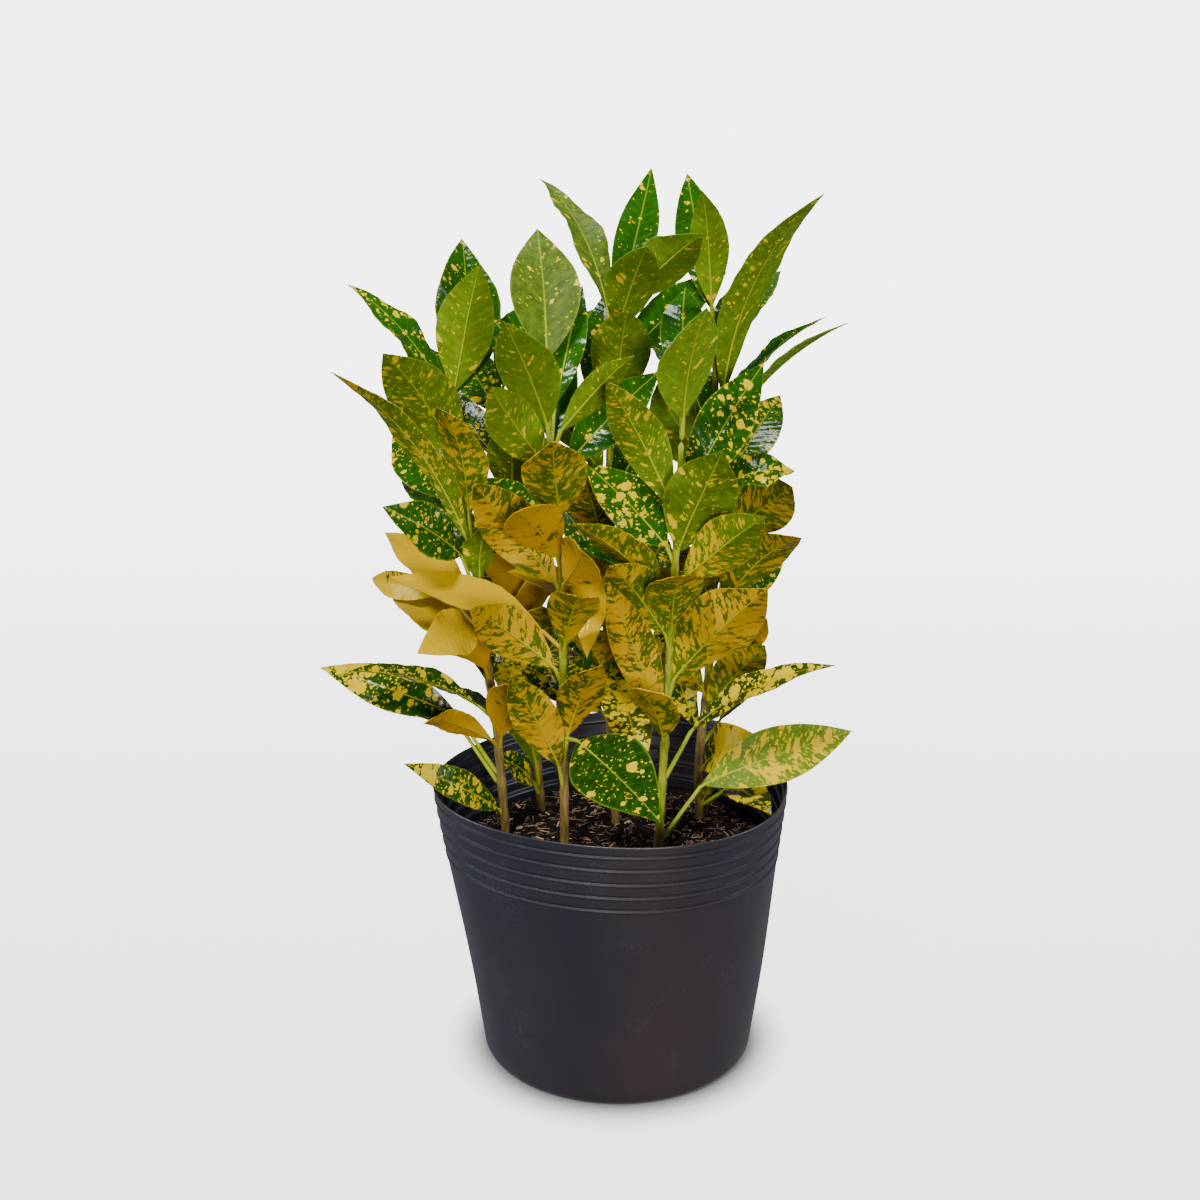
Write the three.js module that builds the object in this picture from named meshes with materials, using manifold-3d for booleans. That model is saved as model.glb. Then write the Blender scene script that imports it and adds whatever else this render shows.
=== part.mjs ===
// Potted croton: a thin plastic nursery pot with soil and six leafy stems.
// Millimetres, +Z up, origin at the middle of the pot's underside.
// The plant's front side faces -Y.

import * as THREE from 'three';
import Module from 'manifold-3d';

const wasm = await Module();
wasm.setup();
const { Manifold, Mesh } = wasm;

// Pot
const potHeight = 205;
const rimRadius = 125;
const baseRadius = 96;
const wallThickness = 1.4;
const footRadius = 5;
const footBend = 0.3;
const grooveDepth = 1.8;
const grooveHalfWidth = 2.2;
const groovesBelowRim = [7, 17, 27.5, 37.5, 47.5];
const potSides = 32;
const drainHoleCount = 6;
const drainHoleRadius = 6;
const drainRingRadius = 70;
const holeSides = 12;

// How far the thin rim is pressed out of round, as shares of the radius.
const roundBelow = 0.2;
const ovalPress = [-0.016, 0.022];
const lobePress = [-0.04, -0.024];

// Soil
const soilLevel = 152;
const soilMound = 3;
const moundShoulder = 0.55;
const fitGap = 0.35;
const soilGap = 1;
const rootDepth = 45;
const wallSteps = [45, 85, 120, soilLevel - soilMound];

// Stems and leaves
const woodRadius = 3.2;
const tipRadius = 1.8;
const stemSides = 6;
const stalkRadius = 1.5;
const bladeThickness = 0.8;
const bladeRows = 5;
const longBlade = 119;
const bladeStart = 0.05;
const bladeEnd = 0.985;
const widestEarly = 0.9;

// A stalk rises more steeply than its blade, and a long one more so.
const stalkExtraRise = 18;
const stalkRisePerLength = 0.4;
const steepestStalk = 76;

// What one leaf draws for itself: the least, and how much more there may be.
const variety = {
  roll: [-8, 16],
  bow: [0.05, 0.07],
  fold: [0.1, 0.25],
  twist: [-15, 30],
  wave: [0.6, 1.6],
  waves: [1.5, 1],
  phase: [0, 360],
};

const degree = Math.PI / 180;

// A stem is a list of points [x, y, z] from the soil up.
// A leaf is [height on the stem, heading, rise, blade length, blade width, stalk length, roll].
// Headings turn from +X towards +Y, and a heading near 270 faces the front.
const stems = {
  stem_left: {
    points: [[-80, 10, soilLevel], [-84, 8, 220], [-87, 5, 258], [-92, 0, 304], [-97, 0, 346],
      [-101, 0, 395], [-106, 0, 436], [-110, 0, 468]],
    leaves: [
      [168, 219, 35, 95, 25, 8, -55],
      [190, 149, 10, 132, 34, 51, -20],
      [197, 171, 17, 104, 32, 55, -55],
      [216, 289, 47, 78, 34, 16, -15],
      [222, 233, 25, 76, 20, 10, 60],
      [245, 116, 25, 90, 34, 27, 10],
      [243, 194, 19, 98, 32, 16, -10],
      [271, 242, 39, 60, 30, 14, 25],
      [280, 143, 20, 90, 34, 12, -15],
      [305, 251, 4, 82, 34, 29, -55],
      [305, 147, 29, 82, 34, 27, -15],
      [308, 136, -5, 84, 20, 44, -80],
      [330, 290, 62, 58, 23, 15, 10],
      [332, 222, 35, 76, 38, 37, -60],
      [368, 122, 12, 96, 38, 16, -10],
      [356, 217, 52, 160, 30, 17, 20],
      [373, 252, 60, 96, 34, 19, -5],
      [392, 124, 19, 104, 38, 12, -50],
      [414, 236, 48, 108, 44, 17, 30],
      [441, 190, 50, 94, 28, 35, -40],
      [449, 122, 27, 80, 26, 26, 20],
      [465, 89, 53, 120, 50, 8, 30],
      [468, 309, 69, 92, 38, 8, -25],
    ],
  },
  stem_front_left: {
    points: [[-37, -22, soilLevel], [-37, -25, 211], [-37, -27, 270], [-37, -30, 320], [-38, -32, 369],
      [-41, -36, 418], [-45, -40, 456]],
    leaves: [
      [201, 233, 58, 94, 32, 22, 40],
      [221, 297, 52, 84, 32, 25, -5],
      [242, 304, -14, 100, 52, 18, 35],
      [253, 92, 12, 78, 28, 14, -5],
      [279, 223, 39, 90, 34, 17, 75],
      [298, 280, 38, 88, 34, 14, -15],
      [306, 171, 17, 110, 30, 19, -30],
      [338, 223, 49, 104, 38, 16, 60],
      [344, 280, 30, 84, 36, 14, -45],
      [362, 248, 36, 76, 38, 12, 30],
      [383, 269, 46, 88, 42, 17, 0],
      [380, 132, 6, 90, 30, 25, -20],
      [400, 240, 45, 94, 32, 30, 55],
      [417, 33, 37, 90, 34, 19, 45],
      [439, 314, 40, 88, 20, 20, -50],
      [439, 93, 44, 104, 34, 8, 0],
      [455, 121, 32, 80, 28, 27, -5],
      [450, 248, 50, 96, 38, 12, 25],
      [454, 98, 55, 96, 46, 48, 0],
      [444, 73, 50, 92, 22, 29, 15],
    ],
  },
  stem_front_right: {
    points: [[28, -22, soilLevel], [31, -25, 218], [33, -28, 270], [35, -32, 314], [37, -36, 357],
      [38, -40, 405], [40, -45, 452]],
    leaves: [
      [162, 17, 14, 116, 40, 51, 50],
      [208, 353, 28, 108, 22, 45, 30],
      [236, 250, 45, 76, 34, 8, -15],
      [240, 227, 64, 118, 30, 20, 45],
      [268, 321, 46, 106, 50, 20, -45],
      [306, 235, 44, 90, 38, 14, 45],
      [318, 275, 40, 82, 38, 8, 0],
      [326, 205, 41, 88, 34, 20, 30],
      [338, 154, 13, 90, 34, 15, -5],
      [343, 309, 37, 96, 36, 17, -55],
      [363, 295, 53, 98, 46, 15, -25],
      [366, 168, 44, 78, 38, 14, -40],
      [386, 230, 54, 110, 32, 24, 45],
      [390, 15, 8, 50, 34, 43, 30],
      [389, 33, 52, 100, 36, 28, 50],
      [452, 284, 58, 90, 44, 15, 20],
      [452, 87, 38, 86, 30, 37, -5],
    ],
  },
  stem_back_right: {
    points: [[61, 45, soilLevel], [58, 45, 190], [62, 43, 237], [66, 40, 284], [68, 36, 344],
      [68, 32, 402], [66, 29, 465], [62, 27, 521]],
    leaves: [
      [157, 287, 42, 42, 17, 12, -15],
      [161, 299, 2, 58, 28, 44, 5],
      [187, 317, 32, 64, 36, 11, 50],
      [208, 36, 16, 92, 32, 24, -10],
      [219, 303, 46, 94, 32, 20, -45],
      [214, 105, 38, 115, 34, 8, -50],
      [244, 250, 48, 92, 34, 8, 60],
      [269, 299, 28, 64, 30, 31, -80],
      [280, 305, 39, 106, 34, 41, -40],
      [292, 60, 20, 108, 38, 16, 15],
      [307, 250, 40, 90, 36, 16, 15],
      [340, 80, 25, 105, 38, 16, 0],
      [354, 305, 33, 80, 38, 24, -70],
      [366, 265, 45, 90, 36, 14, 0],
      [390, 62, 27, 108, 34, 16, 20],
      [395, 229, 50, 96, 38, 16, 55],
      [420, 122, 33, 93, 38, 25, 0],
      [446, 306, 56, 168, 36, 22, 5],
      [448, 17, 40, 94, 22, 11, -10],
      [426, 333, 44, 118, 26, 16, 0],
      [480, 59, 30, 100, 40, 16, 0],
      [508, 106, 51, 64, 20, 18, -15],
      [514, 106, 56, 98, 30, 17, -25],
      [521, 258, 58, 92, 26, 8, 10],
    ],
  },
  stem_back_middle: {
    points: [[-1, 29, soilLevel], [-5, 32, 218], [-8, 32, 286], [-9, 29, 353], [-7, 25, 418],
      [-4, 21, 473], [-1, 18, 516]],
    leaves: [
      [223, 102, 26, 95, 36, 16, -5],
      [233, 175, 30, 78, 28, 8, -50],
      [255, 242, 44, 84, 32, 14, 0],
      [277, 288, -34, 90, 34, 8, 10],
      [282, 66, 25, 105, 36, 22, 30],
      [305, 219, 30, 90, 34, 11, -45],
      [325, 115, 20, 100, 36, 16, 0],
      [296, 320, 35, 86, 34, 14, -30],
      [342, 255, 50, 88, 36, 20, 20],
      [352, 330, 30, 90, 36, 14, 40],
      [366, 260, -43, 86, 30, 8, 0],
      [385, 60, 25, 105, 38, 16, 0],
      [402, 215, 45, 96, 38, 14, 35],
      [430, 93, 49, 110, 38, 16, -10],
      [444, 280, 53, 96, 40, 14, -10],
      [479, 30, 35, 100, 36, 13, 30],
      [516, 304, 31, 94, 34, 22, -50],
      [494, 118, 38, 130, 32, 34, 10],
      [506, 285, 42, 92, 34, 8, -20],
      [516, 70, 55, 112, 28, 8, 20],
    ],
  },
  stem_back_left: {
    points: [[-57, 62, soilLevel], [-63, 58, 239], [-69, 54, 316], [-75, 47, 391], [-80, 41, 442],
      [-82, 38, 472]],
    leaves: [
      [160, 235, 38, 58, 24, 18, -60],
      [164, 251, 61, 72, 25, 26, 15],
      [187, 167, 25, 102, 32, 19, 20],
      [201, 110, 37, 90, 34, 16, -15],
      [248, 284, 51, 72, 30, 22, -10],
      [256, 58, 17, 96, 34, 16, 45],
      [281, 295, 50, 70, 30, 14, 0],
      [300, 127, 30, 104, 36, 16, -30],
      [258, 235, 46, 84, 34, 14, 20],
      [309, 253, 42, 70, 32, 10, 15],
      [330, 300, 45, 84, 34, 14, -10],
      [350, 85, 25, 110, 40, 16, 5],
      [382, 275, 50, 90, 34, 8, 0],
      [405, 143, 30, 105, 38, 16, 0],
      [450, 40, 35, 96, 38, 16, -5],
      [446, 115, 25, 82, 32, 8, -30],
      [462, 49, 49, 84, 38, 10, -10],
    ],
  },
};

// Plain helpers

function fract(value) {
  return value - Math.floor(value);
}

// A repeatable draw between 0 and 1 for one leaf.
function draw(seed, salt) {
  return fract(Math.sin(seed * 12.9898 + salt * 78.233) * 43758.5453);
}

function smoothStep(low, high, value) {
  const share = Math.min(1, Math.max(0, (value - low) / (high - low)));
  return share * share * (3 - 2 * share);
}

function direction(heading, rise) {
  const flat = Math.cos(rise * degree);
  return new THREE.Vector3(
    Math.cos(heading * degree) * flat,
    Math.sin(heading * degree) * flat,
    Math.sin(rise * degree),
  );
}

// Turns a three.js geometry into a welded closed solid.
function toSolid(geometry) {
  const plain = geometry.index ? geometry : geometry.clone();
  const positions = plain.getAttribute('position');
  const count = positions.count;
  const keys = new Map();
  const vertices = [];
  const remap = [];
  for (let i = 0; i < count; i += 1) {
    const point = [positions.getX(i), positions.getY(i), positions.getZ(i)];
    const key = point.map((value) => Math.round(value * 2000)).join(',');
    if (!keys.has(key)) {
      keys.set(key, keys.size);
      vertices.push(...point);
    }
    remap.push(keys.get(key));
  }
  const order = plain.index ? Array.from(plain.index.array) : [...Array(count).keys()];
  const triangles = [];
  for (let i = 0; i < order.length; i += 3) {
    const corners = [remap[order[i]], remap[order[i + 1]], remap[order[i + 2]]];
    if (new Set(corners).size === 3) triangles.push(...corners);
  }
  return new Manifold(new Mesh({
    numProp: 3,
    vertProperties: new Float32Array(vertices),
    triVerts: new Uint32Array(triangles),
  }));
}

function toGeometry(solid) {
  const mesh = solid.getMesh();
  const geometry = new THREE.BufferGeometry();
  geometry.setAttribute('position', new THREE.BufferAttribute(new Float32Array(mesh.vertProperties), 3));
  geometry.setIndex(new THREE.BufferAttribute(new Uint32Array(mesh.triVerts), 1));
  geometry.computeVertexNormals();
  return geometry;
}

// Keeps the one body that holds together and fills what fusing sealed.
function oneBody(solid) {
  const bodies = solid.decompose();
  return bodies.reduce((best, body) => (body.volume() > best.volume() ? body : best));
}

// A closed skin over rings of points that all have the same count.
function skin(rings) {
  const sides = rings[0].length;
  const positions = rings.flat().flatMap((point) => [point.x, point.y, point.z]);
  const triangles = [];
  for (let ring = 0; ring < rings.length - 1; ring += 1) {
    for (let side = 0; side < sides; side += 1) {
      const next = (side + 1) % sides;
      const a = ring * sides + side;
      const b = ring * sides + next;
      triangles.push(a, b, b + sides, a, b + sides, a + sides);
    }
  }
  const last = (rings.length - 1) * sides;
  for (let side = 1; side < sides - 1; side += 1) {
    triangles.push(0, side + 1, side);
    triangles.push(last, last + side, last + side + 1);
  }
  const geometry = new THREE.BufferGeometry();
  geometry.setAttribute('position', new THREE.Float32BufferAttribute(positions, 3));
  geometry.setIndex(triangles);
  return geometry;
}

// Pot and soil

// The thin rim is pressed a little out of round, and the base is round.
function outOfRound(turn, height) {
  const grip = smoothStep(roundBelow * potHeight, potHeight, height);
  const oval = ovalPress[0] * Math.cos(2 * turn) + ovalPress[1] * Math.sin(2 * turn);
  const lobes = lobePress[0] * Math.cos(3 * turn) + lobePress[1] * Math.sin(3 * turn);
  return 1 + grip * (oval + lobes);
}

function pressOutOfRound(geometry) {
  const positions = geometry.getAttribute('position');
  for (let i = 0; i < positions.count; i += 1) {
    const turn = Math.atan2(positions.getY(i), positions.getX(i));
    const factor = outOfRound(turn, positions.getZ(i));
    positions.setXY(i, positions.getX(i) * factor, positions.getY(i) * factor);
  }
  return geometry;
}

// Turns a profile of [radius, height] about the upright axis.
function turned(profile) {
  const points = profile.map(([radius, height]) => new THREE.Vector2(radius, height));
  return new THREE.LatheGeometry(points, potSides).rotateX(90 * degree);
}

function wallRadius(height) {
  return baseRadius + (rimRadius - baseRadius) * height / potHeight;
}

// The wall's outer line from the foot to the rim, with the ring grooves.
function wallLine() {
  const line = [
    [baseRadius - footRadius, 0],
    [baseRadius - footBend * footRadius, footBend * footRadius],
    [wallRadius(footRadius), footRadius],
    ...wallSteps.map((height) => [wallRadius(height), height]),
  ];
  for (const below of [...groovesBelowRim].reverse()) {
    const height = potHeight - below;
    line.push([wallRadius(height - grooveHalfWidth), height - grooveHalfWidth]);
    line.push([wallRadius(height) - grooveDepth, height]);
    line.push([wallRadius(height + grooveHalfWidth), height + grooveHalfWidth]);
  }
  line.push([rimRadius, potHeight]);
  return line;
}

function makePot() {
  const outer = wallLine();
  const inner = outer.slice(1).map(([radius, height]) => [radius - wallThickness, height]).reverse();
  inner[inner.length - 1] = [baseRadius - footRadius, wallThickness];
  const profile = [[0, 0], ...outer, ...inner, [0, wallThickness]];
  const shell = toSolid(pressOutOfRound(turned(profile)));
  const drains = [];
  for (let i = 0; i < drainHoleCount; i += 1) {
    const turn = (i / drainHoleCount) * 360 * degree;
    const drill = new THREE.CylinderGeometry(drainHoleRadius, drainHoleRadius, 4 * wallThickness, holeSides);
    drill.rotateX(90 * degree);
    drill.translate(drainRingRadius * Math.cos(turn), drainRingRadius * Math.sin(turn), 0);
    drains.push(toSolid(drill));
  }
  return shell.subtract(Manifold.union(drains));
}

function makeSoil() {
  const inside = wallThickness + soilGap;
  const floorTop = wallThickness + fitGap;
  const edge = wallRadius(soilLevel - soilMound) - inside;
  const profile = [
    [0, floorTop],
    [baseRadius - footRadius - inside, floorTop],
    [wallRadius(footRadius) - inside - 0.5 * soilGap, footRadius + inside],
    ...wallSteps.map((height) => [wallRadius(height) - inside, height]),
    [moundShoulder * edge, soilLevel],
    [0, soilLevel + soilMound],
  ];
  const filling = toSolid(pressOutOfRound(turned(profile)));
  const holes = Object.values(stems).map((stem) => stemHole(stem));
  return filling.subtract(Manifold.union(holes));
}

// A plain upright hole for one stem.
function stemHole(stem) {
  const [x, y] = stem.points[0];
  const depth = rootDepth + fitGap;
  const hole = new THREE.CylinderGeometry(woodRadius + fitGap, woodRadius + fitGap, 2 * depth, holeSides);
  hole.rotateX(90 * degree);
  hole.translate(x, y, soilLevel);
  return toSolid(hole);
}

// Stems

// The middle of the stem at a height, straight between its listed points.
function stemPoint(stem, height) {
  const { points } = stem;
  let lower = 0;
  while (lower < points.length - 2 && points[lower + 1][2] < height) lower += 1;
  const from = new THREE.Vector3(...points[lower]);
  const to = new THREE.Vector3(...points[lower + 1]);
  return from.lerp(to, (height - from.z) / (to.z - from.z));
}

function stemRadius(stem, height) {
  const top = stem.points[stem.points.length - 1][2];
  const share = Math.max(0, (height - soilLevel) / (top - soilLevel));
  return woodRadius + (tipRadius - woodRadius) * share;
}

function levelRing(middle, radius, sides) {
  const ring = [];
  for (let side = 0; side < sides; side += 1) {
    const turn = (side / sides) * 360 * degree;
    const spoke = new THREE.Vector3(Math.cos(turn), Math.sin(turn), 0);
    ring.push(middle.clone().addScaledVector(spoke, radius));
  }
  return ring;
}

function makeStem(stem) {
  const [x, y] = stem.points[0];
  const root = new THREE.Vector3(x, y, soilLevel - rootDepth);
  const collar = new THREE.Vector3(x, y, soilLevel + soilMound + 1);
  const rings = [levelRing(root, woodRadius, stemSides), levelRing(collar, woodRadius, stemSides)];
  for (const point of stem.points.slice(1)) {
    const middle = new THREE.Vector3(...point);
    rings.push(levelRing(middle, stemRadius(stem, middle.z), stemSides));
  }
  return toSolid(skin(rings));
}

// Leaves

// The share of the full width that the blade has along its length.
function bladeShare(along) {
  return Math.sin(Math.PI * along ** widestEarly);
}

// One leaf's own value of something that varies from leaf to leaf.
function vary(name, seed) {
  const [least, more] = variety[name];
  const salt = 1 + Object.keys(variety).indexOf(name);
  return least + more * draw(seed, salt);
}

// Everything that places one leaf, worked out from its row.
function leafPlan(stem, row, seed) {
  const [height, heading, rise, length, width, stalk, roll] = row;
  const foot = stemPoint(stem, height);
  const stalkRise = Math.min(steepestStalk, rise + stalkExtraRise + stalkRisePerLength * stalk);
  const base = foot.clone().addScaledVector(direction(heading, stalkRise), stalk);
  const along = direction(heading, rise);
  const level = new THREE.Vector3(Math.sin(heading * degree), -Math.cos(heading * degree), 0);
  const across = level.applyAxisAngle(along, (roll + vary('roll', seed)) * degree);
  return {
    foot,
    base,
    along,
    across,
    face: new THREE.Vector3().crossVectors(across, along),
    length,
    width,
    bow: vary('bow', seed),
    fold: vary('fold', seed),
    twist: vary('twist', seed) * degree,
    wave: vary('wave', seed),
    waves: vary('waves', seed),
    phase: vary('phase', seed) * degree,
  };
}

// A point of the blade: along from 0 at its base to 1, side from -1 to 1, lift off the middle face.
function bladePoint(plan, along, side, lift) {
  const turn = plan.twist * (along - 0.3);
  const across = plan.across.clone().applyAxisAngle(plan.along, turn);
  const face = plan.face.clone().applyAxisAngle(plan.along, turn);
  const reach = side * 0.5 * plan.width * bladeShare(along);
  const swing = Math.sin(2 * Math.PI * plan.waves * along + plan.phase);
  const ripple = plan.wave * side * side * swing * bladeShare(along);
  const rise = 4 * plan.bow * plan.length * along * (1 - along) + plan.fold * Math.abs(reach) + ripple;
  return plan.base.clone()
    .addScaledVector(plan.along, along * plan.length)
    .addScaledVector(across, reach)
    .addScaledVector(face, rise + lift);
}

// Six points round the stalk or the blade: three on the upper side and three below.
function leafRing(middle, across, face, half, lift) {
  return [[-1, lift], [0, lift], [1, lift], [1, -lift], [0, -lift], [-1, -lift]].map(([side, up]) => (
    middle.clone().addScaledVector(across, side * half).addScaledVector(face, up)
  ));
}

// The stalk starts inside the stem and the blade carries on from it as one skin.
function makeLeaf(plan) {
  const towards = plan.base.clone().sub(plan.foot).normalize();
  const face = new THREE.Vector3().crossVectors(plan.across, towards).normalize();
  const across = new THREE.Vector3().crossVectors(towards, face);
  const rings = [
    leafRing(plan.foot, across, face, 0.8 * stalkRadius, stalkRadius),
    leafRing(plan.base, across, face, 0.8 * stalkRadius, stalkRadius),
  ];
  const half = 0.5 * bladeThickness;
  const rows = plan.length > longBlade ? bladeRows + 1 : bladeRows;
  for (let row = 0; row < rows; row += 1) {
    const along = bladeStart + (bladeEnd - bladeStart) * (row / (rows - 1));
    const lift = row === 0 ? 2 * half : half;
    rings.push([
      bladePoint(plan, along, -1, half),
      bladePoint(plan, along, 0, lift),
      bladePoint(plan, along, 1, half),
      bladePoint(plan, along, 1, -half),
      bladePoint(plan, along, 0, -lift),
      bladePoint(plan, along, -1, -half),
    ]);
  }
  return toSolid(leafSkin(rings));
}

// The same split on both faces keeps the blade's thickness even.
function leafSkin(rings) {
  const positions = rings.flat().flatMap((point) => [point.x, point.y, point.z]);
  const triangles = [];
  const quad = (a, b, c, d) => triangles.push(a, b, c, a, c, d);
  for (let ring = 0; ring < rings.length - 1; ring += 1) {
    const low = ring * 6;
    const high = low + 6;
    quad(low + 1, high + 1, high, low);
    quad(low + 1, low + 2, high + 2, high + 1);
    quad(low + 4, low + 5, high + 5, high + 4);
    quad(low + 4, high + 4, high + 3, low + 3);
    quad(low + 2, low + 3, high + 3, high + 2);
    quad(low + 5, low, high, high + 5);
  }
  const end = (rings.length - 1) * 6;
  quad(0, 5, 4, 1);
  quad(1, 4, 3, 2);
  quad(end, end + 1, end + 4, end + 5);
  quad(end + 1, end + 2, end + 3, end + 4);
  const geometry = new THREE.BufferGeometry();
  geometry.setAttribute('position', new THREE.Float32BufferAttribute(positions, 3));
  geometry.setIndex(triangles);
  return geometry;
}

function makeLeafyStem(name) {
  const stem = stems[name];
  const stemNumber = Object.keys(stems).indexOf(name);
  const pieces = [makeStem(stem)];
  stem.leaves.forEach((row, index) => {
    const plan = leafPlan(stem, row, 100 * stemNumber + index);
    pieces.push(makeLeaf(plan));
  });
  return oneBody(Manifold.union(pieces));
}

// Materials

function softMaterial(colour, roughness) {
  return new THREE.MeshStandardMaterial({ color: colour, roughness, side: THREE.FrontSide });
}

function named(name, solid, colour, roughness) {
  const mesh = new THREE.Mesh(toGeometry(solid), softMaterial(colour, roughness));
  mesh.name = name;
  return mesh;
}

const leafColours = {
  stem_left: 0x8c8a2c,
  stem_front_left: 0x99922e,
  stem_front_right: 0x86902f,
  stem_back_right: 0x5d7a2e,
  stem_back_middle: 0x6f8a30,
  stem_back_left: 0x4f6f2b,
};

const group = new THREE.Group();
group.name = 'potted_croton';
group.add(named('pot', makePot(), 0x17181a, 0.45));
group.add(named('soil', makeSoil(), 0x3a2a1e, 0.95));

const plant = new THREE.Group();
plant.name = 'plant';
for (const name of Object.keys(stems)) {
  plant.add(named(name, makeLeafyStem(name), leafColours[name], 0.4));
}
group.add(plant);

export default group;
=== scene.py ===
"""Potted croton: a black nursery pot, potting mix, and six leafy stems with variegated leaves."""
import math
import random

import bpy
import numpy as np
from bpy.props import FloatProperty, FloatVectorProperty, IntProperty, PointerProperty
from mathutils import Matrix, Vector, noise


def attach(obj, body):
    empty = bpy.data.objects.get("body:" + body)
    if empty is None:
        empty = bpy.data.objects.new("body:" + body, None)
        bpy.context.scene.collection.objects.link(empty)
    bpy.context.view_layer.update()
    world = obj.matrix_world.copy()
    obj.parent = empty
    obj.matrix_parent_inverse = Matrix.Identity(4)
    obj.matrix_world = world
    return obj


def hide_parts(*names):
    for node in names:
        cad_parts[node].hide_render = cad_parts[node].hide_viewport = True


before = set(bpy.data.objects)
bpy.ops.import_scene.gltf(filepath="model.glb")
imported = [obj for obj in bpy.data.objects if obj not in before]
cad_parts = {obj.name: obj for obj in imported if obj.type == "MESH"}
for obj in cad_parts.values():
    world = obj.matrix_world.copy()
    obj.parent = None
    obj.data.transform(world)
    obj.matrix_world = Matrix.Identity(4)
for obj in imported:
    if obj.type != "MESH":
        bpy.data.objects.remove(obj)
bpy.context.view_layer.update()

bl_info = {
    "name": "Potted Croton",
    "version": (1, 0, 0),
    "blender": (4, 2, 0),
    "location": "View3D > Sidebar > Croton",
    "description": "Builds a croton in a nursery pot, with its potting mix and studio stage",
    "category": "Add Mesh",
}

MM = 0.001
FULL_TURN = 2 * math.pi

# Where the middle of each stem runs from the mix up: points (x, y, z) in millimetres.
STEM_POINTS = {
    "stem_left": [(-80, 10, 152), (-84, 8, 220), (-87, 5, 258), (-92, 0, 304), (-97, 0, 346),
                  (-101, 0, 395), (-106, 0, 436), (-110, 0, 468)],
    "stem_front_left": [(-37, -22, 152), (-37, -25, 211), (-37, -27, 270), (-37, -30, 320),
                        (-38, -32, 369), (-41, -36, 418), (-45, -40, 456)],
    "stem_front_right": [(28, -22, 152), (31, -25, 218), (33, -28, 270), (35, -32, 314),
                         (37, -36, 357), (38, -40, 405), (40, -45, 452)],
    "stem_back_right": [(61, 45, 152), (58, 45, 190), (62, 43, 237), (66, 40, 284), (68, 36, 344),
                        (68, 32, 402), (66, 29, 465), (62, 27, 521)],
    "stem_back_middle": [(-1, 29, 152), (-5, 32, 218), (-8, 32, 286), (-9, 29, 353), (-7, 25, 418),
                         (-4, 21, 473), (-1, 18, 516)],
    "stem_back_left": [(-57, 62, 152), (-63, 58, 239), (-69, 54, 316), (-75, 47, 391),
                       (-80, 41, 442), (-82, 38, 472)],
}

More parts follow.
